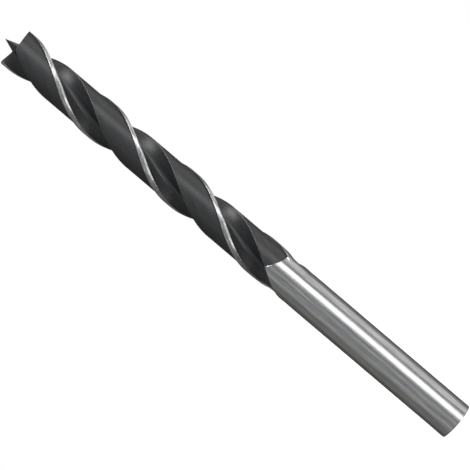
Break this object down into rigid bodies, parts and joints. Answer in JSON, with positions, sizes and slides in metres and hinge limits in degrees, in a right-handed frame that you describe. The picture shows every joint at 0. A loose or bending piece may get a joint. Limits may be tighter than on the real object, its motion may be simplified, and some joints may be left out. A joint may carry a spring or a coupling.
{
  "type": "brad point drill bit",
  "caption": "Brad point wood drill bit: twisted flutes with raised margins, cutting spurs and a sharp centre point, on a plain round shank.",
  "frame": {"origin": "centre of the flat shank end, on the ground plane that the bit stands on", "axes": "+Z along the bit's axis, from the shank end up to the centre point; -Y faces the viewer of the picture"},
  "size_m": [0.008, 0.008, 0.11],
  "materials": {
    "tool_steel": "ground bright on the shank, the margins and the cutting end; satin black oxide in the flutes and on the relieved body"
  },
  "bodies": {
    "root": {"drill_bit": "tool_steel"}
  },
  "joints": []
}
